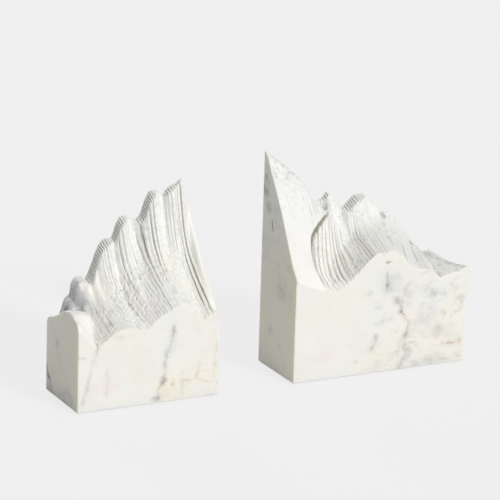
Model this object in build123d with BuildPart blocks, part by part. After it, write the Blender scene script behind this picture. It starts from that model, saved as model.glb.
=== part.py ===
from build123d import *
import os

# A pair of carved stone book ends. Each is one marble block with a mountain-like
# relief for its top, standing on four felt feet. The books stand in the gap between.
# +X runs along the row of books, +Y to the back and +Z up. The origin is on the
# shelf, below the middle of the pair when it stands at its rest gap.

# Driving dimensions, in millimetres
block_depth = 70
left_length = 136
right_length = 177
book_gap = 75
foot_thickness = 1.5
foot_radius = 6
foot_inset = 14
foot_edge = 0.4

# Worked out from them
pair_length = left_length + book_gap + right_length
left_start = -pair_length / 2
right_start = pair_length / 2 - right_length
front = -block_depth / 2

# The ledge behind the crest of the carving: where it usually starts, measured from the
# front, and how much it climbs from there to the back face
ledge_start = 59
ledge_rise = 3.5

# The left block's shoulder, at its outer end, and the facet that cuts its front corner
shoulder_width = 17
shoulder_fall = 2.5
facet_top = 84
facet_slope = 1.41
facet_depth = 16

# How the left shoulder's wall gives way to the ledge, and where its inner rim begins
wall_end = 50
wall_lean = 0.45
rim_start = 128.5
rim_full = 133.5
rim_back = 67

# The right block's spur: how hollow its front is, over which depth that fades, where it
# starts to fill out towards the back edge, the share of its width that does so, and how
# far beside and behind it the bowl is drawn up to meet it
spur_hollow = 0.6
spur_hollow_depth = 25
spur_full_from = 30
spur_full_share = 0.8
bowl_reach = 30
bowl_full = 58
bowl_back = 66

# The carved surface reaches past the block's sides by this margin. It is defined by
# lines across the block, this far apart, with points at these distances from the front.
stock_height = 210
relief_margin = 2
relief_step = 3.5
relief_rows = [-2, 0, 4, 8, 13, 18, 24, 30, 36, 42, 47, 51, 54, 56.5, 58.5, 60.5, 63, 66, 70, 72]

# Over this reach the peaks of the crest are smoothed away lower down the slope
calm_reach = [-16, -8, 0, 8, 16]


def outline(points):
    """Return a smooth curve through the points that never overshoots them."""
    spans = list(zip(points, points[1:]))
    slopes = [(z1 - z0) / (x1 - x0) for (x0, z0), (x1, z1) in spans]
    tangents = [slopes[0]]
    for before, after in zip(slopes, slopes[1:]):
        level = before * after <= 0
        tangents.append(0 if level else 2 * before * after / (before + after))
    tangents.append(slopes[-1])

    def curve(x):
        x = min(max(x, points[0][0]), points[-1][0])
        index = sum(1 for point in points[1:-1] if x > point[0])
        (x0, z0), (x1, z1) = spans[index]
        width = x1 - x0
        s = (x - x0) / width
        start = z0 * (1 + 2 * s) + tangents[index] * width * s
        end = z1 * (3 - 2 * s) - tangents[index + 1] * width * (1 - s)
        return start * (1 - s) ** 2 + end * s ** 2

    return curve


def ease(low, high, x):
    """Rise smoothly from 0 at low to 1 at high."""
    s = min(max((x - low) / (high - low), 0), 1)
    return s * s * (3 - 2 * s)


def mix(a, b, share):
    return a + (b - a) * share


class Carving:
    """A slope of grooves that climb from the front edge to a crest, with a ledge behind it.

    Outlines give heights, depths and drifts against the distance along the block. A groove
    starts on the front edge. First it swings left by its sway, then it drifts right.
    """

    first_turn = staticmethod(outline([(0, 0), (4, 2.2), (10, 5), (16, 6.5), (block_depth, 6.5)]))

    def __init__(
        self, length, front_edge, back_edge, crest, drift, bend, sway, even_share, steepness, fold_power
    ):
        self.length = length
        self.front_edge = outline(front_edge)
        self.back_edge = outline(back_edge)
        self.crest = outline(crest)
        self.drift = outline(drift)
        self.bend = outline(bend)
        self.sway = outline(sway)
        self.even_share = outline(even_share)
        self.steepness = steepness
        self.fold_power = fold_power

    def groove_along(self, at_front, deep):
        """Where a groove that starts at at_front on the front edge has got to, this deep."""
        share = max(deep, 0) / block_depth
        swing = self.sway(at_front) * self.first_turn(deep)
        return at_front - swing + self.drift(at_front) * share ** self.bend(at_front)

    def groove(self, along, deep):
        """Where the groove through a point leaves the front edge, found by halving."""
        low, high = 0, self.length + 30
        for _ in range(20):
            middle = (low + high) / 2
            low, high = (middle, high) if self.groove_along(middle, deep) < along else (low, middle)
        return low

    def ledge(self, along, deep):
        """The flat step behind the crest, which rises a little to the back edge."""
        width = max(block_depth - self.crest(along), 0.5)
        fall = ledge_rise * min(width / (block_depth - ledge_start), 1)
        return self.back_edge(along) - fall * (block_depth - deep) / width

    def slope(self, along, deep):
        """Height of the grooved slope, or of the ledge behind it."""
        crest = self.crest(along)
        if deep > crest:
            return self.ledge(along, deep)
        at_front = self.groove(along, deep)
        at_crest = self.groove_along(at_front, crest)
        high = self.ledge(at_crest, crest)
        calm = sum(self.back_edge(at_crest + shift) for shift in calm_reach) / len(calm_reach) - ledge_rise
        share = max(deep, 0) / crest
        even = self.even_share(at_front)
        rise = even * share + (1 - even) * share ** self.steepness
        return mix(self.front_edge(at_front), calm, rise) + (high - calm) * share ** self.fold_power


# The left block's carving: low at its outer, left end and peaked next to the books
left_carving = Carving(
    length=left_length,
    front_edge=[
        (0, 78), (17, 60), (20, 59.5), (25, 62), (38, 70.5), (46, 72), (66, 69.5), (73, 74.5),
        (86, 83.5), (99, 88), (108, 83), (116, 73), (119.5, 71), (129, 77.5), (136, 77.5),
    ],
    back_edge=[
        (0, 68), (10, 70), (17, 83.5), (21, 86), (23, 97), (27, 101.5), (31, 101.5), (35.5, 99.5),
        (42, 112), (46, 123), (50, 130.5), (55, 134), (60, 134), (66, 148), (70, 153), (74, 152.5),
        (82, 148.5), (87, 151), (94, 168), (98, 173.5), (103, 173), (110, 168.5),
        (113, 172.5), (117, 175.9), (123.5, 178.2), (127.3, 181), (129.5, 180), (133, 172), (136, 160),
    ],
    crest=[
        (0, 59), (29, 58), (34, 55), (38, 55), (44, 59), (56, 59), (60, 62), (63, 59), (71, 59),
        (75, 66), (82, 68.5), (86, 62), (89, 59), (99, 59), (103, 66), (109, 68.5), (112, 64),
        (117, 62), (127, 67), (136, 69),
    ],
    drift=[(0, 6), (20, 5), (34, 1), (62, -14), (115, -2.3), (129, -3.5), (170, -3.5)],
    bend=[(0, 1), (136, 1)],
    sway=[(0, 0), (136, 0)],
    even_share=[(0, 0.55), (136, 0.55)],
    steepness=7,
    fold_power=5,
)

# Its shoulder and rim: (distance from the front, height) or (distance from the front,
# distance along the block)
outer_shoulder = outline([
    (0, 77), (3, 80), (8, 82.4), (13, 84.6), (21, 86.2), (31, 84.7), (41, 80), (50, 75.3),
    (66, 70.3), (70, 69),
])
inner_rim = outline([(0, 77.5), (4, 76), (16, 89), (33, 107), (47, 125), (60, 143), (70, 160)])
wall_foot = outline([(0, 17.5), (20, 17.5), (33, 20), (50, 20), (59, 14), (70, 12)])
wall_top = outline([(0, 18.5), (20, 20.5), (33, 27), (44, 28), (50, 30), (59, 40), (70, 44)])

# The right block's carving: a ribbed bowl beside the spur
right_carving = Carving(
    length=right_length,
    front_edge=[
        (0, 99), (6, 93), (15, 88), (29, 83.5), (36, 80.5), (48, 85.6), (61.5, 95.6), (73, 107),
        (82, 113), (96, 114), (108, 108), (116, 99), (127, 94), (136, 93.5), (147, 84.3),
        (152, 85), (170, 88.4), (177, 92),
    ],
    back_edge=[
        (0, 200), (23.5, 181.5), (33, 173), (40, 165), (48, 149.5), (55, 148), (58, 148.5),
        (61, 150.7), (64.5, 155), (67.5, 152), (73, 146), (80, 138.5), (90, 146.5), (95, 149.5),
        (102, 149.5), (108, 143), (117, 135.5), (135, 124), (153, 104), (162, 93), (170, 86.8),
        (177, 87.5),
    ],
    crest=[
        (0, 69.5), (50, 69.5), (57, 67), (63, 63.5), (67, 66), (73, 69), (79, 64), (83, 59),
        (96, 59), (101, 62), (106, 68), (112, 69.5), (177, 69.5),
    ],
    drift=[
        (0, 46), (27, 46), (40, 27), (56, 13), (75, 11), (94, 15), (108, 28), (147, 22), (177, 20),
    ],
    bend=[(27, 3), (45, 1.3), (60, 1)],
    sway=[(34, 1), (40, 0.8), (50, 0.4), (60, 0.2), (75, 0)],
    even_share=[(27, 0.5), (62, 0.5), (78, 0.28), (105, 0.6), (177, 0.9)],
    steepness=12,
    fold_power=3,
)

# Its spur: heights on the side next to the books and along its edge, and that edge's
# distance along the block
inner_side = outline([(0, 99), (8, 108), (20, 129), (40, 162), (55, 183), (66, 198), (70, 200)])
spur_height = outline([(0, 84), (10, 101), (18, 111), (30, 129), (45, 137), (59, 141), (70, 149)])
spur_along = outline([
    (0, 31), (3, 29.3), (7, 26.8), (12, 24.8), (20, 25.4), (28, 28.6), (33, 33.3), (40, 41.2),
    (47, 49.2), (56, 57.5), (63, 56), (70, 50),
])


def left_height(along, deep):
    """Height of the left block's top above its underside."""
    height = left_carving.slope(along, deep)
    top = wall_top(deep)
    if along < top:
        shoulder = outer_shoulder(deep) - shoulder_fall * (along / shoulder_width) ** 2
        facet = facet_top - facet_slope * along
        shoulder -= ease(facet_depth, 0, deep) * max(shoulder - facet, 0)
        wall = mix(shoulder, left_carving.slope(top, deep), ease(wall_foot(deep), top, along))
        lean = wall_lean * max(ledge_start - deep, 0)
        behind = max(left_carving.ledge(along - lean, deep), shoulder - 1)
        height = mix(wall, behind, ease(wall_end, ledge_start, deep))
    rim = ease(rim_start, rim_full, along) * ease(block_depth, rim_back, deep)
    return mix(height, inner_rim(deep), rim)


def right_height(along, deep):
    """Height of the right block's top above its underside."""
    edge = spur_along(deep)
    if along < edge:
        power = mix(spur_hollow, 1, ease(0, spur_hollow_depth, deep))
        spur = mix(inner_side(deep), spur_height(deep), (along / edge) ** power)
        straight = mix(inner_side(block_depth), spur_height(block_depth), along / spur_along(block_depth))
        full = ease(spur_full_from, block_depth, deep) * ease(1, spur_full_share, along / edge)
        return spur + (right_carving.back_edge(along) - straight) * full
    step = spur_height(deep) - right_carving.slope(edge, deep)
    near = max(1 - (along - edge) / bowl_reach, 0) ** 2
    return right_carving.slope(along, deep) + step * near * ease(bowl_back, bowl_full, deep)


def relief(height, start, length):
    """The carved top of a block, as a surface that reaches past its four sides."""
    count = round((length + 2 * relief_margin) / relief_step)
    stretch = (length + 2 * relief_margin) / count
    lines = []
    for index in range(count + 1):
        along = index * stretch - relief_margin
        line = []
        for deep in relief_rows:
            high = foot_thickness + height(min(max(along, 0), length), min(max(deep, 0), block_depth))
            line.append((start + along, front + deep, high))
        lines.append(line)
    return Face.make_surface_from_array_of_points(lines, tol=0.01, min_deg=3, max_deg=8)


os.makedirs("parts", exist_ok=True)

# Left block, whose peak stands next to the books at its right end
with BuildPart() as left_block:
    with BuildSketch(Plane.XY.offset(foot_thickness)):
        with Locations((left_start + left_length / 2, 0)):
            Rectangle(left_length, block_depth)
    extrude(amount=stock_height)
    carved_top = relief(left_height, left_start, left_length)
    extrude(carved_top, amount=stock_height, dir=(0, 0, 1), mode=Mode.SUBTRACT)

left_block.part.label = "left_block"
export_step(left_block.part, "parts/left_block.step")

# Right block, taller and longer, whose peak stands next to the books at its left end
with BuildPart() as right_block:
    with BuildSketch(Plane.XY.offset(foot_thickness)):
        with Locations((right_start + right_length / 2, 0)):
            Rectangle(right_length, block_depth)
    extrude(amount=stock_height)
    carved_top = relief(right_height, right_start, right_length)
    extrude(carved_top, amount=stock_height, dir=(0, 0, 1), mode=Mode.SUBTRACT)

right_block.part.label = "right_block"
export_step(right_block.part, "parts/right_block.step")


def felt_foot(name, x, y):
    """One round felt foot, with the softened rim that punched felt has."""
    with BuildPart() as foot:
        with BuildSketch():
            with Locations((x, y)):
                Circle(foot_radius)
        extrude(amount=foot_thickness)
        chamfer(foot.edges().group_by(Axis.Z)[0], length=foot_edge)
    foot.part.label = name
    export_step(foot.part, f"parts/{name}.step")


# Four feet under each block. The inner ones are those next to the books.
foot_reach = block_depth / 2 - foot_inset
for side, start, length in (("left", left_start, left_length), ("right", right_start, right_length)):
    ends = [start + foot_inset, start + length - foot_inset]
    outer, inner = ends if side == "left" else reversed(ends)
    for end, x in (("outer", outer), ("inner", inner)):
        felt_foot(f"{side}_foot_front_{end}", x, -foot_reach)
        felt_foot(f"{side}_foot_back_{end}", x, foot_reach)
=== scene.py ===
import math

import bpy
import numpy as np
from mathutils import Matrix, Vector


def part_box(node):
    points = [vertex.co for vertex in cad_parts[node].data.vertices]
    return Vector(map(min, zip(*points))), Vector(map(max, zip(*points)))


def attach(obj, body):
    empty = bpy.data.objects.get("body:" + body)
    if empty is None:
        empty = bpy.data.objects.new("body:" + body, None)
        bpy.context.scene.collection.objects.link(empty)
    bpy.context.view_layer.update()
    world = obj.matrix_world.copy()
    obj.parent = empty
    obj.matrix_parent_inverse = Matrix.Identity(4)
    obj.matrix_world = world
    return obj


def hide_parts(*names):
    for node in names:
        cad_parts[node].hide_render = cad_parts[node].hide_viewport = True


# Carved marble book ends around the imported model: two blocks with a ribbed, mountain-like
# top, each on four felt feet. The carving is worked out in millimetres, in each block's own
# terms: along it from its left end, deep into it from its front face, and high above its
# underside. Everything else is in metres, in the frame of the CAD model.

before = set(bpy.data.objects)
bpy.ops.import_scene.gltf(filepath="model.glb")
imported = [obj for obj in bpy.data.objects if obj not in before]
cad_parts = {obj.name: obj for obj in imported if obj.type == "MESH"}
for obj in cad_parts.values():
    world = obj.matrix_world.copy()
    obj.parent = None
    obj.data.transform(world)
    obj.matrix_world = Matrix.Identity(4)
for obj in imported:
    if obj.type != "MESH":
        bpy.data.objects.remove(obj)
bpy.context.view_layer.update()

MM = 0.001


# -------- curves and noise

# soft noise repeats after this many features
NOISE_REPEAT = 64


class Outline:
    """A smooth curve through the points that never overshoots them."""

    def __init__(self, points):
        self.x = np.array([point[0] for point in points], float)
        self.y = np.array([point[1] for point in points], float)
        self.width = np.diff(self.x)
        slope = np.diff(self.y) / self.width
        before = slope[:-1]
        after = slope[1:]
        same_way = before * after > 0
        between = np.where(same_way, 2 * before * after / np.where(same_way, before + after, 1), 0)
        self.tangent = np.concatenate([slope[:1], between, slope[-1:]])

    def __call__(self, at):
        at = np.clip(at, self.x[0], self.x[-1])
        index = np.clip(np.searchsorted(self.x, at) - 1, 0, len(self.x) - 2)
        width = self.width[index]
        s = (at - self.x[index]) / width
        start = self.y[index] * (1 + 2 * s) + self.tangent[index] * width * s
        end = self.y[index + 1] * (3 - 2 * s) - self.tangent[index + 1] * width * (1 - s)
        return start * (1 - s) ** 2 + end * s ** 2


def ease(low, high, x):
    """Rise smoothly from 0 at low to 1 at high."""
    s = np.clip((x - low) / (high - low), 0, 1)
    return s * s * (3 - 2 * s)


def span(x, start, full, last_full, end):
    """Rise from 0 at start to 1 at full, and fall from 1 at last_full to 0 at end."""
    return ease(start, full, x) * ease(end, last_full, x)


def mix(a, b, share):
    return a + (b - a) * share


def soft_noise(x, y, seed):
    """Smooth noise between -1 and 1 whose features are about one unit across."""
    table = np.random.RandomState(seed).uniform(-1, 1, (NOISE_REPEAT, NOISE_REPEAT))
    column = np.floor(x).astype(int)
    row = np.floor(y).astype(int)
    across = ease(0, 1, x - column)
    up = ease(0, 1, y - row)

    def corner(right, above):
        return table[(column + right) % NOISE_REPEAT, (row + above) % NOISE_REPEAT]

    near = mix(corner(0, 0), corner(1, 0), across)
    far = mix(corner(0, 1), corner(1, 1), across)
    return mix(near, far, up)


# -------- the two carvings

# the ledge behind the crest: where it usually starts, its least width and its climb
CREST_DEPTH = 59
LEDGE_LEAST = 0.5
LEDGE_RISE = 3.5
# the peaks of the crest are smoothed away over this reach lower down the slope
CALM_REACH = (-16, -8, 0, 8, 16)
# a groove's start is found by halving a span that runs this far past the block
SEARCH_PAST = 30
HALVINGS = 22
# the grooves reach their full depth this far past the edge of the smooth part
GROOVES_FULL = 1.5


def climb(share, even, power):
    """Section along a groove: an even slope that turns steep just before the crest."""
    return even * share + (1 - even) * share ** power


class Carving:
    """What the two tops share: grooves from the front edge that drift sideways going back."""

    depth = 70
    first_turn = Outline([(0, 0), (4, 2.2), (10, 5), (16, 6.5), (70, 6.5)])

    def groove_along(self, at_front, deep):
        """Where a groove that starts at at_front on the front edge has got to, this deep."""
        share = np.maximum(deep, 0) / self.depth
        swing = self.sway(at_front) * self.first_turn(deep)
        return at_front - swing + self.drift(at_front) * share ** self.bend(at_front)

    def groove(self, along, deep):
        """Where the groove through a point leaves the front edge."""
        low = np.zeros_like(along)
        high = np.full_like(along, self.length + SEARCH_PAST)
        for _ in range(HALVINGS):
            middle = (low + high) / 2
            short = self.groove_along(middle, deep) < along
            low = np.where(short, middle, low)
            high = np.where(short, high, middle)
        return low

    def ledge(self, along, deep):
        """The flat step behind the crest, which rises a little to the back edge."""
        width = np.maximum(self.depth - self.crest(along), LEDGE_LEAST)
        fall = LEDGE_RISE * np.minimum(width / (self.depth - CREST_DEPTH), 1)
        return self.back_edge(along) - fall * (self.depth - deep) / width

    def slope(self, along, deep):
        """The carved slope from the front edge up to the crest, and the ledge behind it."""
        at_front = self.groove(along, deep)
        crest = self.crest(along)
        at_crest = self.groove_along(at_front, crest)
        high = self.ledge(at_crest, crest)
        peaks = sum(self.back_edge(at_crest + shift) for shift in CALM_REACH)
        calm = peaks / len(CALM_REACH) - LEDGE_RISE
        share = np.clip(deep / crest, 0, 1)
        rise = climb(share, self.even_share(at_front), self.steepness)
        carved = mix(self.front_edge(at_front), calm, rise) + (high - calm) * share ** self.fold_power
        return np.where(deep > crest, self.ledge(along, deep), carved)

    def edge_groove(self, along, deep):
        """The cut that follows the edge of the smooth part."""
        cut, past, half = self.edge_cut
        gap = along - self.smooth_edge(deep) - past
        return cut * span(deep, *self.edge_cut_reach) * np.exp(-(gap / half) ** 2)


class LeftCarving(Carving):
    """The left block's top: low at its outer, left end and peaked next to the books."""

    length = 136
    front_edge = Outline([
        (0, 78), (17, 60), (20, 59.5), (25, 62), (38, 70.5), (46, 72), (66, 69.5), (73, 74.5),
        (86, 83.5), (99, 88), (108, 83), (116, 73), (119.5, 71), (129, 77.5), (136, 77.5),
    ])
    back_edge = Outline([
        (0, 68), (10, 70), (17, 83.5), (21, 86), (23, 97), (27, 101.5), (31, 101.5), (35.5, 99.5),
        (42, 112), (46, 123), (50, 130.5), (55, 134), (60, 134), (66, 148), (70, 153), (74, 152.5),
        (82, 148.5), (87, 151), (94, 168), (98, 173.5), (103, 173), (110, 168.5), (113, 172.5),
        (117, 175.9), (123.5, 178.2), (127.3, 181), (129.5, 180), (133, 172), (136, 160),
    ])
    crest = Outline([
        (0, 59), (29, 58), (34, 55), (38, 55), (44, 59), (56, 59), (60, 62), (63, 59), (71, 59),
        (75, 66), (82, 68.5), (86, 62), (89, 59), (99, 59), (103, 66), (109, 68.5), (112, 64),
        (117, 62), (127, 67), (136, 69),
    ])
    drift = Outline([(0, 6), (20, 5), (34, 1), (62, -14), (115, -2.3), (129, -3.5), (170, -3.5)])
    bend = Outline([(0, 1), (136, 1)])
    sway = Outline([(0, 0), (136, 0)])
    even_share = Outline([(0, 0.55), (136, 0.55)])
    steepness = 7
    fold_power = 5

    # the shoulder at the outer end, and the facet that cuts its front corner
    outer_shoulder = Outline([
        (0, 77), (3, 80), (8, 82.4), (13, 84.6), (21, 86.2), (31, 84.7), (41, 80), (50, 75.3),
        (66, 70.3), (70, 69),
    ])
    shoulder_width = 17
    shoulder_fall = 2.5
    facet_top = 84
    facet_slope = 1.41
    facet_depth = 16
    # the wall beside the shoulder, and how it gives way to the ledge
    wall_foot = Outline([(0, 17.5), (20, 17.5), (33, 20), (50, 20), (59, 14), (70, 12)])
    wall_top = Outline([(0, 18.5), (20, 20.5), (33, 27), (44, 28), (50, 30), (59, 40), (70, 44)])
    wall_end = 50
    wall_lean = 0.45
    # the lip next to the books
    inner_rim = Outline([(0, 77.5), (4, 76), (16, 89), (33, 107), (47, 125), (60, 143), (70, 160)])
    rim_start = 128.5
    rim_full = 133.5
    rim_back = 67

    # the cutter: least and most between grooves, their least and most depth, and its seed
    pitch = (2.0, 3.1)
    cut = (0.6, 1.4)
    seed = 11
    # deep grooves: place on the front edge, depth, half width, first and last distance in
    deep_grooves = [
        (31, 0.5, 0.7, 4, 40), (36, 0.6, 0.7, 0, 34), (66, 1.0, 0.7, 12, 50),
        (72, 1.0, 0.7, 20, 52), (84.5, 0.5, 0.6, 46, 60), (91.5, 0.8, 0.7, 18, 60),
        (97, 0.6, 0.6, 25, 58), (125, 1.1, 0.7, 10, 66), (129.3, 1.8, 0.8, 0, 70),
    ]
    # the cut beside the shoulder: depth, distance past the edge and half width, and where it
    # fades in and out
    smooth_edge = wall_foot
    edge_cut = (0.9, 1.2, 0.7)
    edge_cut_reach = (-1, 0, 22, 30)
    # the grooves stop before the lip, start later on the ledge, and are worn in one patch
    last_groove = (129, 131.5)
    ledge_delay = 12
    worn_share = 0.7
    # the rounding of the top's short edges and of its long edges, along the block
    side_radius = Outline([(0, 2.2), (60, 2.2), (70, 0.5), (136, 0.5)])
    edge_radius = Outline([(0, 5), (13, 4.5), (18, 0.45), (136, 0.45)])

    def height(self, along, deep):
        """Height of the top's smooth shape above the underside."""
        shoulder = self.outer_shoulder(deep) - self.shoulder_fall * (along / self.shoulder_width) ** 2
        facet = self.facet_top - self.facet_slope * along
        shoulder -= ease(self.facet_depth, 0, deep) * np.maximum(shoulder - facet, 0)
        foot = self.wall_foot(deep)
        top = self.wall_top(deep)
        wall = mix(shoulder, self.slope(top, deep), ease(foot, top, along))
        lean = self.wall_lean * np.maximum(CREST_DEPTH - deep, 0)
        behind = np.maximum(self.ledge(along - lean, deep), shoulder - 1)
        wall = mix(wall, behind, ease(self.wall_end, CREST_DEPTH, deep))
        high = np.where(along < top, wall, self.slope(along, deep))
        rim = ease(self.rim_start, self.rim_full, along) * ease(self.depth, self.rim_back, deep)
        return mix(high, self.inner_rim(deep), rim)

    def ribbed(self, along, deep):
        """How strongly the cutter's grooves show, from 0 to 1."""
        start = mix(self.wall_foot(deep), self.wall_top(deep), span(deep, 22, 34, 57, 62))
        start = start + self.ledge_delay * ease(57, 62, deep)
        past_shoulder = ease(0, GROOVES_FULL, along - start)
        last_full, end = self.last_groove
        worn_patch = span(self.groove(along, deep), 24, 30, 50, 62) * span(deep, 32, 44, 57, 59)
        return past_shoulder * ease(end, last_full, along) * (1 - self.worn_share * worn_patch)

    def strength(self, groove, deep):
        """How deep the ordinary grooves are, by place: shallow low down on the left."""
        middle = ease(70, 50, groove) * ease(10, 40, deep)
        lower_left = ease(42, 30, groove) * ease(40, 26, deep)
        upper_right = ease(58, 66, groove) * ease(35, 48, deep)
        return 1 - 0.25 * middle - 0.4 * lower_left + 0.15 * upper_right

    def tooled(self, along, deep):
        """How rough and bruised the cutter left the stone, from 0 to 1."""
        return mix(0.5, 1, self.ribbed(along, deep))

    def peened(self, groove, deep):
        """Where chatter roughened the stone, from 0 to 1: the lower middle of the slope."""
        return ease(118, 104, groove) * ease(58, 40, deep)


class RightCarving(Carving):
    """The right block's top: a smooth spur and peak next to the books, then a ribbed bowl."""

    length = 177
    front_edge = Outline([
        (0, 99), (6, 93), (15, 88), (29, 83.5), (36, 80.5), (48, 85.6), (61.5, 95.6), (73, 107),
        (82, 113), (96, 114), (108, 108), (116, 99), (127, 94), (136, 93.5), (147, 84.3),
        (152, 85), (170, 88.4), (177, 92),
    ])
    back_edge = Outline([
        (0, 200), (23.5, 181.5), (33, 173), (40, 165), (48, 149.5), (55, 148), (58, 148.5),
        (61, 150.7), (64.5, 155), (67.5, 152), (73, 146), (80, 138.5), (90, 146.5), (95, 149.5),
        (102, 149.5), (108, 143), (117, 135.5), (135, 124), (153, 104), (162, 93), (170, 86.8),
        (177, 87.5),
    ])
    crest = Outline([
        (0, 69.5), (50, 69.5), (57, 67), (63, 63.5), (67, 66), (73, 69), (79, 64), (83, 59),
        (96, 59), (101, 62), (106, 68), (112, 69.5), (177, 69.5),
    ])
    drift = Outline([
        (0, 46), (27, 46), (40, 27), (56, 13), (75, 11), (94, 15), (108, 28), (147, 22), (177, 20),
    ])
    bend = Outline([(27, 3), (45, 1.3), (60, 1)])
    sway = Outline([(34, 1), (40, 0.8), (50, 0.4), (60, 0.2), (75, 0)])
    even_share = Outline([(27, 0.5), (62, 0.5), (78, 0.28), (105, 0.6), (177, 0.9)])
    steepness = 12
    fold_power = 3

    # the spur: heights on the side next to the books and along its edge, and that edge's
    # distance along the block
    inner_side = Outline([(0, 99), (8, 108), (20, 129), (40, 162), (55, 183), (66, 198), (70, 200)])
    spur_height = Outline([(0, 84), (10, 101), (18, 111), (30, 129), (45, 137), (59, 141), (70, 149)])
    spur_along = Outline([
        (0, 31), (3, 29.3), (7, 26.8), (12, 24.8), (20, 25.4), (28, 28.6), (33, 33.3), (40, 41.2),
        (47, 49.2), (56, 57.5), (63, 56), (70, 50),
    ])
    # how hollow its front is, over which depth that fades, where it starts to fill out to
    # the back edge, and the share of its width that does so
    spur_hollow = 0.6
    spur_hollow_depth = 25
    spur_full_from = 30
    spur_full_share = 0.8
    # how far beside and behind the spur the bowl is drawn up to meet it
    bowl_reach = 30
    bowl_full = 58
    bowl_back = 66

    # the cutter, its deep grooves and the cut beside the spur, in the left block's terms
    pitch = (2.4, 3.4)
    cut = (0.5, 1.2)
    seed = 23
    deep_grooves = [
        (29.5, 0.8, 0.6, 2, 50), (33, 1.0, 0.7, 4, 56), (37, 1.2, 0.7, 2, 54),
        (40.5, 0.8, 0.6, 6, 50), (44, 1.0, 0.7, 4, 46), (48, 0.9, 0.7, 8, 54),
        (52, 0.7, 0.6, 4, 50), (56, 0.9, 0.8, 2, 52), (62.5, 0.8, 0.9, 0, 54),
        (72, 0.4, 0.8, 10, 58), (84, 0.4, 0.8, 6, 58), (101, 0.6, 0.8, 14, 62),
        (114, 1.2, 0.8, 2, 40), (128, 0.7, 0.9, 4, 60), (148, 0.5, 1.2, 0, 66),
    ]
    smooth_edge = spur_along
    edge_cut = (2.2, 1.1, 1.0)
    edge_cut_reach = (0, 6, 50, 60)
    side_radius = Outline([(0, 0.6), (177, 0.6)])
    edge_radius = Outline([(0, 0.5), (177, 0.5)])

    def height(self, along, deep):
        """Height of the top's smooth shape above the underside."""
        edge = self.spur_along(deep)
        share = np.clip(along / edge, 0, 1)
        power = mix(self.spur_hollow, 1, ease(0, self.spur_hollow_depth, deep))
        spur = mix(self.inner_side(deep), self.spur_height(deep), share ** power)
        back_share = along / self.spur_along(self.depth)
        straight = mix(self.inner_side(self.depth), self.spur_height(self.depth), back_share)
        full = ease(self.spur_full_from, self.depth, deep) * ease(1, self.spur_full_share, share)
        spur = spur + (self.back_edge(along) - straight) * full
        step = self.spur_height(deep) - self.slope(edge, deep)
        near = np.clip(1 - (along - edge) / self.bowl_reach, 0, 1) ** 2
        bowl = self.slope(along, deep) + step * near * ease(self.bowl_back, self.bowl_full, deep)
        return np.where(along < edge, spur, bowl)

    def ribbed(self, along, deep):
        """How strongly the cutter's grooves show, from 0 to 1."""
        return ease(0, GROOVES_FULL, along - self.spur_along(deep))

    def strength(self, groove, deep):
        """How deep the ordinary grooves are, by place: strongest low in the bowl."""
        low_in_bowl = span(groove, 26, 34, 84, 112) * ease(60, 40, deep)
        past_first_fold = ease(56, 66, groove)
        past_hump = ease(80, 100, groove)
        right_end = ease(125, 150, groove)
        return 0.75 + 0.5 * low_in_bowl - 0.25 * past_first_fold - 0.15 * past_hump + 0.5 * right_end

    def tooled(self, along, deep):
        """How rough and bruised the cutter left the stone, from 0 to 1: the spur is smooth low down."""
        return mix(0.5 + 0.45 * ease(25, 52, deep), 1, self.ribbed(along, deep))

    def peened(self, groove, deep):
        """Where chatter roughened the stone, from 0 to 1."""
        return ease(45, 60, groove) * 0.8


# -------- cutter marks

# a set of grooves: step and start of its section, how far that runs past the block, and
# the least and most half width of a groove
SECTION_STEP = 0.05
SECTION_START = -20
SECTION_PAST = 60
GROOVE_HALF = (0.45, 0.7)
# how grooves wander: (amount, over this distance in depth, and this one across)
WANDER = [(0.45, 13, 17), (0.15, 4, 6)]
# small scallops between the grooves
SCALLOP_HEIGHT = 0.10
SCALLOP_PITCH = 1.15
# deep grooves fade from this far outside their ends to this far inside
FADE_OUTSIDE = 3
FADE_INSIDE = 5
# chatter: ripples along the grooves, crumbs, and how much of the grooves it takes away
CHATTER_PITCH = 1.9
CHATTER_HEIGHT = 0.12
CRUMB_HEIGHT = 0.50
CHATTER_LOSS = 0.55
# ribs across the ledge
LEDGE_PITCH = 2.6
LEDGE_CUT = 1.3
# bumps of the smooth parts, where they are honed and tooled
HONED_BUMPS = 0.10
TOOLED_BUMPS = 0.32
# passes of wear, and the strip along the outline that they spare
WEAR = 10
SPARED = (0.5, 3.0)


def groove_section(carving, seed):
    """Height across one set of the cutter's grooves: narrow cuts with rounded ribs between them."""
    random = np.random.RandomState(seed)
    end = carving.length + SECTION_PAST
    across = np.arange(SECTION_START, end, SECTION_STEP)
    height = np.zeros(len(across))
    centre = float(SECTION_START)
    while centre < end:
        cut = mix(*carving.cut, random.rand() ** 1.3)
        half = random.uniform(*GROOVE_HALF)
        height -= cut * np.exp(-np.abs(across - centre) / half)
        centre += random.uniform(*carving.pitch)
    height -= height.mean()
    return lambda q: np.interp(q, across, height)


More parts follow.
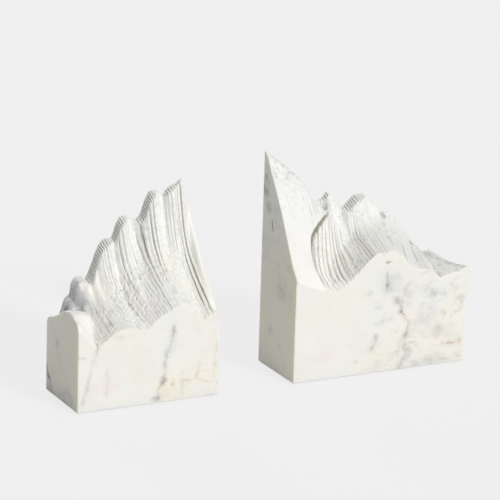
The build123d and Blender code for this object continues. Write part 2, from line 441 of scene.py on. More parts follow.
def cutter_marks(carving, along, deep):
    """Grooves, deep grooves and chatter of the carving, in millimetres above its smooth shape."""
    seed = carving.seed
    groove = carving.groove(along, deep)
    q = groove.copy()
    for step, (amount, in_depth, across) in enumerate(WANDER):
        q += amount * soft_noise(deep / in_depth, groove / across, seed + step)
    first = groove_section(carving, seed + 2)(q)
    second = groove_section(carving, seed + 3)(q)
    swap = ease(-0.25, 0.25, soft_noise(deep / 19, q / 9, seed + 4))
    marks = mix(first, second, swap) * carving.strength(groove, deep)
    marks += SCALLOP_HEIGHT * np.abs(np.sin(math.pi * q / SCALLOP_PITCH))
    for centre, cut, half, start, stop in carving.deep_grooves:
        window = ease(start - FADE_OUTSIDE, start + FADE_INSIDE, deep)
        window = window * ease(stop + FADE_OUTSIDE, stop - FADE_INSIDE, deep)
        marks -= cut * window * np.exp(-((q - centre) / half) ** 2)
    phase = 4 * soft_noise(groove / 5, deep / 7, seed + 5)
    chatter = np.sin(2 * math.pi * deep / CHATTER_PITCH + phase)
    patch = ease(-0.1, 0.4, soft_noise(groove / 17, deep / 14, seed + 6)) * carving.peened(groove, deep)
    marks *= 1 - CHATTER_LOSS * patch
    marks += CHATTER_HEIGHT * chatter * patch
    marks += CRUMB_HEIGHT * soft_noise(along / 1.5, deep / 1.3, seed + 7) * patch
    return marks


def ledge_marks(carving, along):
    """Ribs across the ledge behind the crest, evenly spaced over its steps and flats."""
    line = np.linspace(0, carving.length, 4000)
    pieces = np.hypot(np.diff(line), np.diff(carving.back_edge(line)))
    run = np.interp(along, line, np.concatenate([[0], np.cumsum(pieces)]))
    wander = 0.6 * soft_noise(run / 6, along / 9, carving.seed)
    ribs = np.abs(np.sin(math.pi * run / LEDGE_PITCH + wander))
    return LEDGE_CUT * (ribs ** 0.8 - 0.7)


def worn(high, inner):
    """Round the ridges a little over, except close to the block's outline."""
    kept = ease(*SPARED, inner)
    for _ in range(WEAR):
        soft = high.copy()
        soft[:, 1:-1] = (high[:, :-2] + 2 * high[:, 1:-1] + high[:, 2:]) / 4
        across = soft.copy()
        across[1:-1, :] = (soft[:-2, :] + 2 * soft[1:-1, :] + soft[2:, :]) / 4
        high = mix(high, across, kept)
    return high


def carved_marks(carving, along, deep):
    """How far the finished stone stands above its smooth shape, measured square to it."""
    crest = carving.crest(along)
    ribbed = carving.ribbed(along, deep)
    behind = ease(crest - 0.5, crest + 0.7, deep)
    marks = mix(cutter_marks(carving, along, deep), ledge_marks(carving, along), behind) * ribbed
    marks -= carving.edge_groove(along, deep)
    bumps = soft_noise(along / 2.2, deep / 9, carving.seed + 8)
    bumps += soft_noise(along / 1.6, deep / 1.8, carving.seed + 9)
    bump_height = mix(HONED_BUMPS, TOOLED_BUMPS, ease(0.5, 0.95, carving.tooled(along, deep)))
    marks += bump_height * (1 - ribbed) * bumps
    return marks


# -------- block mesh

# the mesh's usual cell, the arris of the block, and its grid lines within the arris
GRID_STEP = 0.45
ARRIS = 0.9
EDGE_LINES = [0, 0.12, 0.3, 0.55]
# grid lines are at most this much closer where the profile is steep
CLOSEST = 4
# rings of points down the sides: the first below the top, those at shares of the height,
# and those in the bottom arris at shares of a quarter turn
FIRST_RING = 0.35
SIDE_SHARES = (0.66, 0.33, 0)
ARRIS_TURNS = (0.35, 0.7, 1.0)
# marks are square to the surface from this far inside the outline. On the outline they are
# upright, and grow on slopes down to this upward share.
MARKS_FREE = 1.5
LEAST_UPWARD = 0.45
# the depth of one full groove, and the most full grooves that a mark counts as
GROOVE_FULL = 0.8
GROOVE_DEEPEST = 2.2


def lines_across(length, profile=None):
    """Grid lines over a length: closer along both ends, and closer where the profile is steep."""
    line = np.linspace(ARRIS, length - ARRIS, 3000)
    pace = np.ones(len(line))
    if profile is not None:
        pace = np.minimum(np.hypot(1, np.gradient(profile(line), line)), CLOSEST)
    run = np.concatenate([[0], np.cumsum((pace[1:] + pace[:-1]) / 2 * np.diff(line))])
    inner = np.interp(np.linspace(0, run[-1], round(run[-1] / GRID_STEP)), run, line)
    near = np.array(EDGE_LINES)
    return np.concatenate([near, inner, length - near[::-1]])


def round_corners(x, y, length, depth, radius):
    """Move points near a vertical edge of the block onto its small rounded arris."""
    middle_x, middle_y = length / 2, depth / 2
    over_x = np.maximum(np.abs(x - middle_x) - (middle_x - radius), 0)
    over_y = np.maximum(np.abs(y - middle_y) - (middle_y - radius), 0)
    size = np.hypot(over_x, over_y)
    scale = np.where(size > 0, np.maximum(over_x, over_y) / np.maximum(size, 1e-9), 1)
    new_x = np.where(over_y > 0, x - np.sign(x - middle_x) * over_x * (1 - scale), x)
    new_y = np.where(over_x > 0, y - np.sign(y - middle_y) * over_y * (1 - scale), y)
    return new_x, new_y


def rounded_down(gap, radius):
    """How far an edge of that radius has dropped at that distance from it."""
    inset = np.clip(1 - gap / radius, 0, 1)
    return radius * (1 - np.sqrt(1 - inset ** 2))


def top_grid(carving, length, depth):
    """The carved top as arrays of x, y, z, cutter marks and tooling, column by column."""
    columns = lines_across(length, carving.back_edge)
    rows = lines_across(depth)
    along, deep = np.meshgrid(columns, rows, indexing="ij")
    # the rows are bent so that one of them follows the crest
    crest = carving.crest(along)
    lower = deep * crest / CREST_DEPTH
    upper = depth - (depth - deep) * (depth - crest) / (depth - CREST_DEPTH)
    deep = np.where(deep < CREST_DEPTH, lower, upper)
    sides = np.minimum(along, length - along)
    ends = np.minimum(deep, depth - deep)
    inner = np.minimum(sides, ends)
    high = worn(carving.height(along, deep), inner)
    high -= rounded_down(sides, carving.side_radius(along))
    high -= rounded_down(ends, carving.edge_radius(along))
    tangents = [np.gradient(values, axis=(0, 1)) for values in (along, deep, high)]
    normal = np.cross(*(np.stack(parts, -1) for parts in zip(*tangents)))
    normal /= np.linalg.norm(normal, axis=-1, keepdims=True)
    marks = carved_marks(carving, along, deep)
    free = ease(0, MARKS_FREE, inner)
    x, y = round_corners(along, deep, length, depth, ARRIS)
    x = x + marks * normal[..., 0] * free
    y = y + marks * normal[..., 1] * free
    z = high + marks * mix(1 / np.maximum(normal[..., 2], LEAST_UPWARD), normal[..., 2], free)
    return x, y, z, marks, carving.tooled(along, deep)


def border(grid):
    """The outermost values of a grid, once round, seen from above anticlockwise."""
    return np.concatenate([grid[:-1, 0], grid[-1, :-1], grid[:0:-1, -1], grid[0, :0:-1]])


def side_rings(edge_z):
    """Rings down the sides, as heights and an inset, ending in the bottom arris."""
    rings = [(edge_z - FIRST_RING, 0)]
    for share in SIDE_SHARES:
        rings.append((ARRIS + (edge_z - ARRIS) * share, 0))
    for turn in ARRIS_TURNS:
        angle = turn * math.pi / 2
        lift = ARRIS * (1 - math.sin(angle))
        rings.append((np.full_like(edge_z, lift), ARRIS * (1 - math.cos(angle))))
    return rings


def closed_block(x, y, high, length, depth):
    """Points and faces of the whole block: carved top, four flat sides and a flat underside."""
    columns, rows = high.shape
    index = np.arange(columns * rows).reshape(columns, rows)
    quads = np.stack([index[:-1, :-1], index[1:, :-1], index[1:, 1:], index[:-1, 1:]], -1)
    points = [np.stack([x.ravel(), y.ravel(), high.ravel()], -1)]
    faces = [quads.reshape(-1, 4)]
    edge_x, edge_y, edge_z, previous = (border(grid) for grid in (x, y, high, index))
    centre_x, centre_y = length / 2, depth / 2
    outward_x = np.sign(edge_x - centre_x) * (np.abs(edge_x - centre_x) > centre_x - ARRIS)
    outward_y = np.sign(edge_y - centre_y) * (np.abs(edge_y - centre_y) > centre_y - ARRIS)
    start = columns * rows
    for ring_z, inset in side_rings(edge_z):
        points.append(np.stack([edge_x - outward_x * inset, edge_y - outward_y * inset, ring_z], -1))
        ring = np.arange(start, start + len(edge_z))
        faces.append(np.stack([previous, ring, np.roll(ring, -1), np.roll(previous, -1)], -1))
        previous = ring
        start += len(edge_z)
    points.append(np.array([[centre_x, centre_y, 0.0]]))
    underside = [(a, start, b) for a, b in zip(previous.tolist(), np.roll(previous, -1).tolist())]
    return np.concatenate(points), np.concatenate(faces).tolist() + underside


def in_scene(name, mesh):
    """A new object of that mesh, put into the scene."""
    piece = bpy.data.objects.new(name, mesh)
    bpy.context.scene.collection.objects.link(piece)
    return piece


def block_mesh(name, node, carving):
    """A carved block in its CAD node's place, which knows where it is tooled and where cut."""
    low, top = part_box(node)
    length = (top.x - low.x) / MM
    depth = (top.y - low.y) / MM
    x, y, high, marks, tooled = top_grid(carving, length, depth)
    points, faces = closed_block(x, y, high, length, depth)
    points = points * MM + np.array([low.x, low.y, low.z])
    mesh = bpy.data.meshes.new(name)
    mesh.from_pydata(points.tolist(), [], faces)
    inside = np.zeros(high.shape)
    inside[1:-1, 1:-1] = 1
    # groove: how deep the cutter marks go, which the marble darkens with dust and painted shade
    groove = np.clip(-marks / GROOVE_FULL, 0, GROOVE_DEEPEST)
    for attribute, values in (("carved", inside * tooled), ("groove", groove)):
        everywhere = np.zeros(len(points), np.float32)
        everywhere[:values.size] = values.ravel()
        mesh.attributes.new(attribute, "FLOAT", "POINT").data.foreach_set("value", everywhere)
    mesh.shade_smooth()
    mesh.validate()
    return in_scene(name, mesh)


# -------- material building

class Shader:
    """A small helper that adds nodes to a material or world and returns their output sockets."""

    def __init__(self, owner):
        owner.use_nodes = True
        self.owner = owner
        self.tree = owner.node_tree
        self.colour = None

    def add(self, kind, inputs=(), output=0, **settings):
        node = self.tree.nodes.new(kind)
        for key, value in settings.items():
            setattr(node, key, value)
        for key, value in dict(inputs).items():
            self.set(node.inputs[key], value)
        return node.outputs[output]

    def set(self, socket, value):
        if isinstance(value, bpy.types.NodeSocket):
            self.tree.links.new(value, socket)
        else:
            socket.default_value = value

    def place(self):
        return self.add("ShaderNodeTexCoord", output="Object")

    def attribute(self, name):
        return self.add("ShaderNodeAttribute", output="Fac", attribute_name=name)

    def part(self, vector, axis):
        return self.add("ShaderNodeSeparateXYZ", {"Vector": vector}, output=axis)

    def math(self, operation, a, b=0.0, clamp=False):
        return self.add("ShaderNodeMath", {0: a, 1: b}, operation=operation, use_clamp=clamp)

    def times(self, *factors):
        product = factors[0]
        for factor in factors[1:]:
            product = self.math("MULTIPLY", product, factor)
        return product

    def vector(self, operation, a, b=(0, 0, 0), output=0):
        return self.add("ShaderNodeVectorMath", {0: a, 1: b}, output=output, operation=operation)

    def scaled(self, vector, factor):
        return self.add("ShaderNodeVectorMath", {0: vector, "Scale": factor}, operation="SCALE")

    def shifted(self, place, amount):
        return self.vector("ADD", place, (amount, amount, amount))

    def noise(self, place, scale, detail, roughness, output="Fac"):
        inputs = {"Vector": place, "Scale": scale, "Detail": detail, "Roughness": roughness}
        return self.add("ShaderNodeTexNoise", inputs, output=output)

    def stirred(self, place, scale, detail, roughness, reach):
        """place, moved about by noise by half of reach at most."""
        noise = self.noise(place, scale, detail, roughness, output="Color")
        noise = self.vector("SUBTRACT", noise, (0.5, 0.5, 0.5))
        return self.vector("ADD", place, self.scaled(noise, reach))

    def fade(self, value, low, high, start=0.0, end=1.0):
        """start where value is at or below low, end at or above high, smooth between."""
        inputs = {"Value": value, "From Min": low, "From Max": high, "To Min": start, "To Max": end}
        return self.add("ShaderNodeMapRange", inputs, interpolation_type="SMOOTHSTEP")

    def patches(self, place, scale, detail, roughness, low, high, least=0.0, most=1.0):
        """Soft-edged patches of noise: least outside them and most inside them."""
        return self.fade(self.noise(place, scale, detail, roughness), low, high, least, most)

    def between(self, share, a, b):
        return self.add("ShaderNodeMix", {"Factor": share, 2: a, 3: b}, data_type="FLOAT")

    def blend(self, share, a, b, kind="MIX"):
        inputs = {"Factor": share, 6: a, 7: b}
        return self.add("ShaderNodeMix", inputs, output=2, data_type="RGBA", blend_type=kind)

    def tint(self, colour, *shares, kind="MIX"):
        """Lay a colour over the colour so far, by the product of the shares."""
        self.colour = self.blend(self.times(*shares), self.colour, colour, kind)

    def bump(self, height, distance, strength, normal=None):
        inputs = {"Height": height, "Distance": distance, "Strength": strength}
        if normal is not None:
            inputs["Normal"] = normal
        return self.add("ShaderNodeBump", inputs)

    def finish(self, kind="Principled BSDF", **values):
        for key, value in values.items():
            self.set(self.tree.nodes[kind].inputs[key.replace("_", " ")], value)
        return self.owner


# -------- marble

WARM_WHITE = (0.86, 0.838, 0.765, 1)
COOL_WHITE = (0.83, 0.828, 0.805, 1)
BRUISED_WHITE = (0.86, 0.86, 0.84, 1)
IVORY = (0.84, 0.8, 0.65, 1)
BLUSH = (0.84, 0.76, 0.7, 1)
# painted glow: the warm light that comes through the stone near the front of its left end
PAINTED_GLOW_HONEY = (0.85, 0.82, 0.64, 1)
CLOUD_GREY = (0.6, 0.605, 0.61, 1)
# painted shade: the grey laid solid over the shadowed hollow behind the left block's shoulder
PAINTED_SHADE_GREY = (0.455, 0.462, 0.472, 1)
SLATE = (0.33, 0.33, 0.325, 1)
BLUE_GREY = (0.19, 0.2, 0.225, 1)
RUST = (0.4, 0.2, 0.1, 1)
DUN = (0.34, 0.26, 0.19, 1)
OLIVE_BROWN = (0.22, 0.19, 0.12, 1)
PURPLE_BROWN = (0.2, 0.12, 0.1, 1)
DARK_BROWN = (0.12, 0.07, 0.04, 1)
NEAR_BLACK = (0.1, 0.05, 0.03, 1)
# dust and painted shade in the grooves, with more of both in the deepest grooves
GROOVE_DUST_AND_SHADE = (0.54, 0.52, 0.455, 1)
DEEP_GROOVE_DUST_AND_SHADE = (0.45, 0.43, 0.37, 1)

# layers of cloud: (scale, direction in degrees, faint from, full from, strength)
CLOUD_LAYERS = [(34, 30, 0.50, 0.72, 0.45), (75, 35, 0.50, 0.68, 0.50), (150, 40, 0.54, 0.70, 0.60)]
# clouds are drawn out by these factors
CLOUD_STRETCH = (0.55, 0.8, 1.0)
# a vein is a soft halo with a thin core: (width, strength) as shares of its own
VEIN_LAYERS = [(2.8, 0.40), (0.9, 0.75)]
# how far a vein moves along and up with each unit of depth
VEIN_SLANT = (0.30, 0, -0.15)
# a spot is full up to this share of its size
SPOT_FULL = 0.25
# how much of a vein shows where the stone is tooled
VEIN_LEFT = 0.4
# polish of honed stone, least and most, and of tooled stone
HONED_ROUGHNESS = (0.34, 0.46)
TOOLED_ROUGHNESS = 0.62
# grain and pits: scale and depth in metres
GRAIN = (900, 0.00006)
PITS = (2600, 0.00012)
# light that enters the stone: its share in honed and in tooled stone, colour and reach
GLOW_SHARES = (0.40, 0.10)
GLOW_COLOUR = (1.0, 0.92, 0.62)
GLOW_REACH = 0.006
MARBLE_IOR = 1.49


def line_mark(shader, place, start, end, width):
    """1 on the line from start to end, fading out over width."""
    a = Vector(start) * MM
    run = Vector(end) * MM - a
    offset = shader.vector("SUBTRACT", place, tuple(a))
    share = shader.vector("DOT_PRODUCT", offset, tuple(run / run.length_squared), output="Value")
    share = shader.math("ADD", share, 0.0, clamp=True)
    nearest = shader.scaled(tuple(run), share)
    gap = shader.vector("SUBTRACT", offset, nearest)
    distance = shader.vector("LENGTH", gap, output="Value")
    return shader.fade(distance, 0.0, width * MM, 1.0, 0.0)


def spot_mark(shader, place, centre, size):
    """1 in the middle of an oval spot in the stone, fading to 0 at its rim."""
    offset = shader.vector("SUBTRACT", place, tuple(c * MM for c in centre))
    scaled = shader.vector("DIVIDE", offset, tuple(s * MM for s in size))
    distance = shader.vector("LENGTH", scaled, output="Value")
    return shader.fade(distance, SPOT_FULL, 1.0, 1.0, 0.0)


def clear_stone(shader, place, bent, warmth):
    """The stone's ground: cool and warm white, ivory and blush patches, and a painted honey glow on its
    left end, strongest at the front.
    """
    warm = shader.patches(bent, 9, 2, 0.5, 0.38, 0.62)
    shader.colour = shader.blend(warm, COOL_WHITE, WARM_WHITE)
    shader.tint(IVORY, shader.patches(shader.shifted(bent, 3), 16, 3, 0.55, 0.46, 0.68, 0, warmth))
    shader.tint(BLUSH, shader.patches(shader.shifted(bent, 9), 24, 3, 0.5, 0.56, 0.74, 0, 0.45))
    # painted glow, not the stone's own colour: a honey tint on the left end, strongest near the front
    # edge, where light comes through the stone
    glow_at_left_end = shader.fade(shader.part(place, "X"), 0.3 * MM, 2.5 * MM, 0.6, 0)
    glow_toward_front = shader.fade(shader.part(place, "Y"), 0, 30 * MM, 1, 0.25)
    shader.tint(PAINTED_GLOW_HONEY, glow_at_left_end, glow_toward_front)


def clouded(shader, place, bent, clouds):
    """Grey clouds in drawn-out layers, with a few dark specks, strongest where clouds says."""
    start, end, before, after = clouds
    along = shader.part(place, "X")
    cloudy = shader.fade(along, start * MM, end * MM, before, after)
    cloudy = shader.math("MAXIMUM", cloudy, shader.fade(along, 0.5 * MM, 4 * MM, 0.9, 0))
    cloudy = shader.times(cloudy, shader.patches(shader.shifted(bent, 5), 13, 1, 0.5, 0.36, 0.56, 0.25))
    for scale, turn, low, high, strength in CLOUD_LAYERS:
        inputs = {"Vector": shader.shifted(bent, scale), "Scale": CLOUD_STRETCH}
        inputs["Rotation"] = (0, math.radians(turn), 0)
        drawn = shader.add("ShaderNodeMapping", inputs, vector_type="POINT")
        shader.tint(CLOUD_GREY, shader.patches(drawn, scale, 5, 0.68, low, high, 0, strength), cloudy)
    shader.tint(SLATE, shader.patches(place, 330, 2, 0.6, 0.68, 0.78, 0, 0.5), cloudy)


def marked(shader, place, carved, veins, spots, streaks):
    """Veins, spots and streaks, with ragged outlines and gaps. A spot can be painted shade, as on the
    left block.
    """
    ragged = shader.stirred(place, 80, 4, 0.65, 0.009)
    broken = shader.patches(place, 120, 4, 0.66, 0.38, 0.60, 0.22)
    # veins are sheets that run through the block at a slant, and cutting bruises them away
    deep = shader.part(place, "Y")
    slant = shader.add("ShaderNodeCombineXYZ", {"X": deep, "Z": deep})
    slant = shader.vector("MULTIPLY", slant, VEIN_SLANT)
    sheet = shader.vector("ADD", shader.vector("MULTIPLY", ragged, (1, 0, 1)), slant)
    off_left_face = shader.fade(shader.part(place, "X"), 0, 2 * MM, 0.3, 1)
    kept = shader.times(shader.fade(carved, 0, 1, 1, VEIN_LEFT), off_left_face)
    for points, width, tint, strength in veins:
        for spread, share in VEIN_LAYERS:
            line = 0.0
            for (along, high), (next_along, next_high) in zip(points, points[1:]):
                ends = (along, 0, high), (next_along, 0, next_high)
                line = shader.math("MAXIMUM", line, line_mark(shader, sheet, *ends, width * spread))
            shader.tint(tint, line, broken, kept, strength * share)
    for centre, size, tint, strength in spots:
        shader.tint(tint, spot_mark(shader, ragged, centre, size), strength, broken)
    for first, last, width, tint, strength in streaks:
        shader.tint(tint, line_mark(shader, ragged, first, last, width), strength, broken)


def bruised_and_groove_shaded(shader, bent, carved):
    """What the cutter did to the colour: mottled and whitened stone, with dust and painted shade in the
    grooves.
    """
    mottle = shader.patches(shader.shifted(bent, 7), 260, 3, 0.6, 0.46, 0.62, 0, 0.75)
    tooled_only = shader.fade(carved, 0.5, 1, 0.25, 1)
    uneven = shader.patches(shader.shifted(bent, 11), 45, 2, 0.5, 0.35, 0.6, 0.25)
    shader.tint(CLOUD_GREY, carved, mottle, tooled_only, uneven)
    shader.tint(BRUISED_WHITE, carved, 0.35)
    groove = shader.attribute("groove")
    # painted shade with dust: the grooves darken with their depth, and the deepest grooves darken most
    shader.tint(GROOVE_DUST_AND_SHADE, shader.fade(groove, 0.05, 1, 0, 0.72), kind="MULTIPLY")
    shader.tint(DEEP_GROOVE_DUST_AND_SHADE, shader.fade(groove, 1.1, 2.1, 0, 0.9), kind="MULTIPLY")


def marble(name, origin, veins, spots, streaks, clouds, warmth):
    """White marble with its own marks, a painted glow at its left end and dust and painted shade in its
    grooves, honed on its flat faces and dull where it is carved.

    origin is the block's front left lower corner. veins are (points, width, colour, strength),
    spots are (centre, size, colour, strength) and streaks are (start, end, width, colour,
    strength), all in millimetres from that corner. A vein's points are (along, high).
    clouds is (start, end, before, after): how cloudy the stone is along the block. warmth
    is how strong its ivory patches are.
    """
    shader = Shader(bpy.data.materials.new(name))
    place = shader.vector("SUBTRACT", shader.place(), tuple(origin))
    bent = shader.stirred(place, 14, 3, 0.55, 0.045)
    carved = shader.attribute("carved")
    clear_stone(shader, place, bent, warmth)
    clouded(shader, place, bent, clouds)
    marked(shader, place, carved, veins, spots, streaks)
    bruised_and_groove_shaded(shader, bent, carved)
    grain_scale, grain_depth = GRAIN
    pit_scale, pit_depth = PITS
    grain = shader.noise(place, grain_scale, 3, 0.7)
    honed = shader.fade(grain, 0.3, 0.7, *HONED_ROUGHNESS)
    relief = shader.bump(grain, grain_depth, 0.35)
    pits = shader.noise(place, pit_scale, 2, 0.5)
    relief = shader.bump(pits, pit_depth, shader.between(carved, 0.05, 0.5), relief)
    return shader.finish(
        Base_Color=shader.colour,
        Roughness=shader.between(carved, honed, TOOLED_ROUGHNESS),
        Normal=relief,
        IOR=MARBLE_IOR,
        Subsurface_Weight=shader.fade(carved, 0, 0.5, *GLOW_SHARES),
        Subsurface_Radius=GLOW_COLOUR,
        Subsurface_Scale=GLOW_REACH,
    )


# -------- felt feet

FELT_DARK = (0.030, 0.028, 0.026, 1)
FELT_LIGHT = (0.095, 0.090, 0.084, 1)
FELT_CLUMP = (0.060, 0.056, 0.052, 1)
FELT_STRETCH = (1.0, 2.6, 1.4)
FUZZ_DEPTH = 0.0004
# half of a foot's section, from the underside round the rim to the top, as shares of its
# radius and thickness
FOOT_SECTION = [
    (0.30, 0), (0.62, 0), (0.86, 0), (0.945, 0.03), (0.985, 0.16), (0.998, 0.38),
    (0.996, 0.66), (0.985, 0.88), (0.965, 0.97), (0.93, 1.0), (0.55, 1.0),
]
FOOT_SIDES = 72
FRAY = 0.010


def felt(name):
    """Pressed wool felt: matted fibres in two greys."""
    shader = Shader(bpy.data.materials.new(name))
    place = shader.place()
    fibres = shader.noise(shader.vector("MULTIPLY", place, FELT_STRETCH), 1500, 5, 0.75)
    shader.colour = shader.blend(shader.fade(fibres, 0.35, 0.65), FELT_DARK, FELT_LIGHT)
    shader.tint(FELT_CLUMP, shader.patches(place, 260, 3, 0.6, 0.45, 0.7, 0, 0.5))
    return shader.finish(
        Base_Color=shader.colour,
        Roughness=0.95,
        Sheen_Weight=0.6,
        Sheen_Roughness=0.5,
        Normal=shader.bump(fibres, FUZZ_DEPTH, 0.8),
    )


def felt_foot(name, node, seed):
    """A punched felt disc: soft rounded rim, slightly uneven edge, flat where it rests."""
    low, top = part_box(node)
    centre = (low + top) / 2
    radius = (top.x - low.x) / 2
    height = top.z - low.z
    random = np.random.RandomState(seed)
    wobble = random.uniform(-1, 1, (len(FOOT_SECTION), FOOT_SIDES))
    points = [(centre.x, centre.y, low.z)]
    for row, (reach, rise) in enumerate(FOOT_SECTION):
        for step in range(FOOT_SIDES):
            angle = 2 * math.pi * step / FOOT_SIDES
            fray = FRAY * (wobble[row, step] - 1) if 0 < rise < 1 else 0
            r = radius * (reach + fray)
            x = centre.x + r * math.cos(angle)
            y = centre.y + r * math.sin(angle)
            points.append((x, y, low.z + height * rise))
    points.append((centre.x, centre.y, top.z))
    last_ring = 1 + (len(FOOT_SECTION) - 1) * FOOT_SIDES
    faces = []
    for step in range(FOOT_SIDES):
        after = (step + 1) % FOOT_SIDES
        faces.append((0, 1 + after, 1 + step))
        for row in range(len(FOOT_SECTION) - 1):
            a = 1 + row * FOOT_SIDES
            b = a + FOOT_SIDES
            faces.append((a + step, a + after, b + after, b + step))
        faces.append((last_ring + step, last_ring + after, len(points) - 1))
    mesh = bpy.data.meshes.new(name)
    mesh.from_pydata(points, [], faces)
    mesh.shade_smooth()
    return in_scene(name, mesh)


# -------- marks in each stone, and painted shade on the left one

LEFT_VEINS = [
    ([(92, 69), (87, 49), (84, 37), (81.5, 22), (76, 4)], 2.3, SLATE, 0.58),
    ([(19, 60), (12, 32), (5, 8)], 2.1, SLATE, 0.30),
    ([(29, 36), (27, 14)], 2.0, SLATE, 0.20),
    ([(133, 48), (131, 18)], 1.6, RUST, 0.24),
    ([(116, 30), (114, 18)], 1.3, RUST, 0.35),
    ([(100, 25), (101, 5)], 2.0, SLATE, 0.25),
    ([(100, 18), (135, 12)], 1.6, RUST, 0.18),
]
LEFT_SPOTS = [
    ((82, 0, 20), (5, 12, 7), SLATE, 0.85),
    ((75, 0, 5), (8, 12, 5), SLATE, 0.40),
    ((92, 0, 66), (3, 6, 4), RUST, 0.24),
    ((40, 0, 66), (4, 4, 3), SLATE, 0.30),
    # painted shade, not a mark in the stone: this solid grey spot stands in for the shadow in the
    # hollow behind the left shoulder
    ((21, 56, 86), (13, 26, 22), PAINTED_SHADE_GREY, 3.0),
    ((12, 60, 76), (9, 18, 10), BLUE_GREY, 0.8),
    ((0, 45, 50), (6, 5, 9), SLATE, 0.5),
    ((0, 66, 3), (6, 10, 10), SLATE, 0.5),
    ((0, 24, 4), (6, 26, 16), CLOUD_GREY, 0.7),
    ((91, 0, 17), (2.5, 5, 5), RUST, 0.30),
    ((3, 0, 50), (5, 5, 2), RUST, 0.40),
]
LEFT_STREAKS = [
    ((0, 72, 27), (0, 54, -2), 4.5, BLUE_GREY, 1.1),
]
RIGHT_VEINS = [
    ([(106, 66), (109, 56), (116, 45), (115, 33)], 1.8, RUST, 0.50),
    ([(93, 94), (94, 76)], 2.4, SLATE, 0.50),
    ([(96, 80), (105, 64)], 2.6, SLATE, 0.22),
    ([(114, 33), (113, 12), (109, 0)], 3.0, SLATE, 0.42),
    ([(114, 80), (110, 64)], 2.2, SLATE, 0.38),
    ([(84, 34), (79, 24)], 2.0, RUST, 0.30),
    ([(84, 34), (79, 24)], 2.8, SLATE, 0.35),
    ([(118, 2), (150, 6), (170, 4)], 2.6, SLATE, 0.35),
    ([(155, 19), (172, 20)], 2.2, RUST, 0.45),
    ([(168, 60), (176, 62)], 2.6, SLATE, 0.35),
]
RIGHT_SPOTS = [
    ((107.5, 0, 56), (2.8, 4, 2.6), NEAR_BLACK, 1.2),
    ((93.5, 0, 84), (2.6, 6, 5.5), PURPLE_BROWN, 0.70),
    ((98, 0, 86), (16, 9, 14), CLOUD_GREY, 0.40),
    ((112, 0, 70), (15, 9, 17), CLOUD_GREY, 0.42),
    ((75, 0, 76), (5, 6, 4), SLATE, 0.28),
    ((85, 0, 62), (7, 6, 3), SLATE, 0.25),
    ((136, 0, 50), (16, 9, 16), CLOUD_GREY, 0.42),
    ((154, 0, 49), (5, 6, 3), SLATE, 0.42),
    ((153, 0, 67.5), (3, 5, 2), SLATE, 0.45),
    ((173, 0, 60), (5, 6, 6), SLATE, 0.32),
    ((117, 0, 14), (7, 7, 10), SLATE, 0.35),
    ((63, 0, 42), (5, 6, 9), BLUSH, 0.60),
    ((71, 0, 3), (8, 6, 5), BLUSH, 0.50),
    ((93, 0, 104), (4.5, 6, 2.6), DUN, 0.62),
    ((104, 0, 64), (8, 9, 8), SLATE, 0.20),
    ((142, 0, 69), (6.5, 8, 8), SLATE, 0.38),
    ((147, 0, 33), (8, 10, 11), SLATE, 0.32),
    ((63, 0, 12), (4, 5, 4), RUST, 0.22),
    ((60, 0, 30), (8, 6, 3), BLUSH, 0.60),
    ((27, 66, 177), (4.5, 6, 3.5), SLATE, 1.1),
    ((123.4, 66, 127), (5.2, 7, 5.2), OLIVE_BROWN, 3.6),
    ((137, 66, 121), (3, 6, 3), SLATE, 0.6),
    ((150.5, 60, 99), (4.6, 6, 5.0), SLATE, 2.2),
    ((164, 66, 91), (5, 6, 3.5), SLATE, 1.6),
    ((0, 64, 168), (8, 9, 16), SLATE, 0.8),
    ((0, 57, 150), (8, 8, 7), SLATE, 0.6),
    ((0, 30, 78), (6, 16, 12), SLATE, 0.28),
    ((0, 47, 36), (6, 7, 8), BLUE_GREY, 0.3),
    ((0, 30, 26), (6, 4, 5), SLATE, 0.4),
]
RIGHT_STREAKS = [
    ((0, 51, 138), (0, 49, 130), 1.7, DARK_BROWN, 1.6),
    ((168, 68, 87), (177, 6, 89), 6, SLATE, 1.2),
    ((172, 44, 85), (162, 24, 85), 4, SLATE, 0.70),
]


# -------- the book ends

stones = [
    ("left", LeftCarving(), LEFT_VEINS, LEFT_SPOTS, LEFT_STREAKS, (0, 60, 0.45, 0.35), 0.50),
    ("right", RightCarving(), RIGHT_VEINS, RIGHT_SPOTS, RIGHT_STREAKS, (60, 100, 0.15, 1.0), 0.26),
]
for side, carving, veins, spots, streaks, clouds, warmth in stones:
    node = f"{side}_block"
    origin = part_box(node)[0]
    piece = block_mesh(f"{side}_carved_marble", node, carving)
    piece.data.materials.append(marble(f"{side}_marble", origin, veins, spots, streaks, clouds, warmth))
    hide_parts(node)
    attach(piece, side)

felt_finish = felt("grey_felt")
for seed, node in enumerate(sorted(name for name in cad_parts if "_foot_" in name)):
    foot = felt_foot(f"felt_{node}", node, seed)
    foot.data.materials.append(felt_finish)
    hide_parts(node)
    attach(foot, node.split("_")[0])


# -------- floor, light and camera

# the floor: half its width, its tone and mottle, and the share and strength of a glow that
# only the camera sees, which hides where it meets the backdrop
FLOOR_REACH = 12
FLOOR_GREY = 0.70
FLOOR_MOTTLE = 0.004
FLOOR_GLOW = 0.85
FLOOR_GLOW_STRENGTH = 0.915
# the backdrop's brightness, and the fill light from below and from above
BACKDROP = 0.860
FILL_LOW = 0.22
FILL_HIGH = 0.56
FILL_HORIZON = -0.2
# name, energy, softness in degrees and the direction it comes from
SUNS = [("key", 2.10, 12, (0.25, -0.82, 0.48)), ("back", 0.9, 30, (0.10, 0.95, 0.22))]
# the camera's place round the aim in degrees, its distance from it, and its lens in mm
AZIMUTH = -27.2
ELEVATION = 16.65
ROLL = 1.75
DISTANCE = 2.699
AIM = (0.0049, 0.0341, 0.1091)
LENS = 214.5
SENSOR = 36
FARTHEST = 60


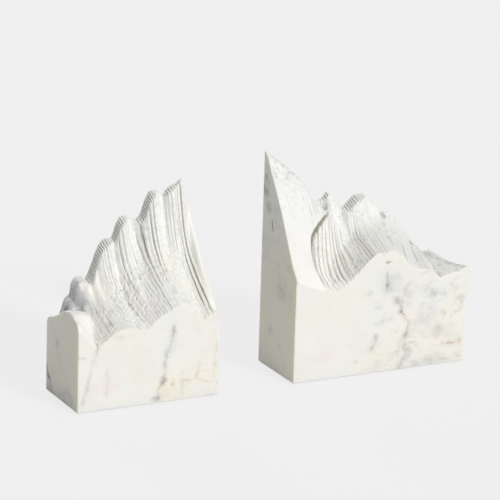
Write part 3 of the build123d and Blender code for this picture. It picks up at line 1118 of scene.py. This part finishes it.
def pale_floor():
    """A plain pale floor, far larger than the object, that runs into the backdrop unseen."""
    corners = [(FLOOR_REACH * x, FLOOR_REACH * y, 0) for x, y in ((-1, -1), (1, -1), (1, 1), (-1, 1))]
    mesh = bpy.data.meshes.new("floor")
    mesh.from_pydata(corners, [], [(0, 1, 2, 3)])
    floor = in_scene("floor", mesh)
    shader = Shader(bpy.data.materials.new("floor_paper"))
    tones = (FLOOR_GREY - FLOOR_MOTTLE, FLOOR_GREY + FLOOR_MOTTLE)
    tone = shader.patches(shader.place(), 3, 2, 0.5, 0.2, 0.8, *tones)
    seen = shader.add("ShaderNodeLightPath", output="Is Camera Ray")
    glow = shader.add("ShaderNodeEmission", {"Color": (1, 1, 1, 1), "Strength": FLOOR_GLOW_STRENGTH})
    paper = shader.tree.nodes["Principled BSDF"].outputs[0]
    shown = shader.add("ShaderNodeMixShader", {0: shader.times(seen, FLOOR_GLOW), 1: paper, 2: glow})
    shader.finish("Material Output", Surface=shown)
    floor.data.materials.append(shader.finish(Base_Color=tone, Roughness=0.9, Specular_IOR_Level=0.0))


def studio_light():
    """Fill from all round, more from above, a soft key from the front right and a weak back light."""
    scene = bpy.context.scene
    sky = Shader(bpy.data.worlds.new("studio"))
    upward = sky.part(sky.add("ShaderNodeTexCoord", output="Generated"), "Z")
    fill_range = {"Value": upward, "From Min": FILL_HORIZON, "To Min": FILL_LOW, "To Max": FILL_HIGH}
    fill = sky.add("ShaderNodeMapRange", fill_range)
    seen = sky.add("ShaderNodeLightPath", output="Is Camera Ray")
    strength = sky.add("ShaderNodeMapRange", {"Value": seen, "To Min": fill, "To Max": BACKDROP})
    scene.world = sky.finish("Background", Color=(1, 1, 1, 1), Strength=strength)
    for name, energy, softness, direction in SUNS:
        sun = bpy.data.lights.new(name, "SUN")
        sun.energy = energy
        sun.angle = math.radians(softness)
        lamp = bpy.data.objects.new(name, sun)
        lamp.rotation_mode = "QUATERNION"
        lamp.rotation_quaternion = Vector(direction).to_track_quat("Z", "Y")
        scene.collection.objects.link(lamp)
    scene.view_settings.view_transform = "Standard"
    scene.view_settings.look = "None"


def long_camera():
    """A long lens from the front left, a little above, with the slight tilt of a hand-held shot."""
    azimuth = math.radians(AZIMUTH)
    elevation = math.radians(ELEVATION)
    away = Vector((
        math.sin(azimuth) * math.cos(elevation),
        -math.cos(azimuth) * math.cos(elevation),
        math.sin(elevation),
    ))
    data = bpy.data.cameras.new("camera")
    data.lens = LENS
    data.sensor_width = SENSOR
    data.clip_end = FARTHEST
    camera = bpy.data.objects.new("camera", data)
    turn = away.to_track_quat("Z", "Y").to_matrix() @ Matrix.Rotation(math.radians(ROLL), 3, "Z")
    camera.matrix_world = Matrix.Translation(Vector(AIM) + away * DISTANCE) @ turn.to_4x4()
    bpy.context.scene.collection.objects.link(camera)
    bpy.context.scene.camera = camera


pale_floor()
studio_light()
long_camera()
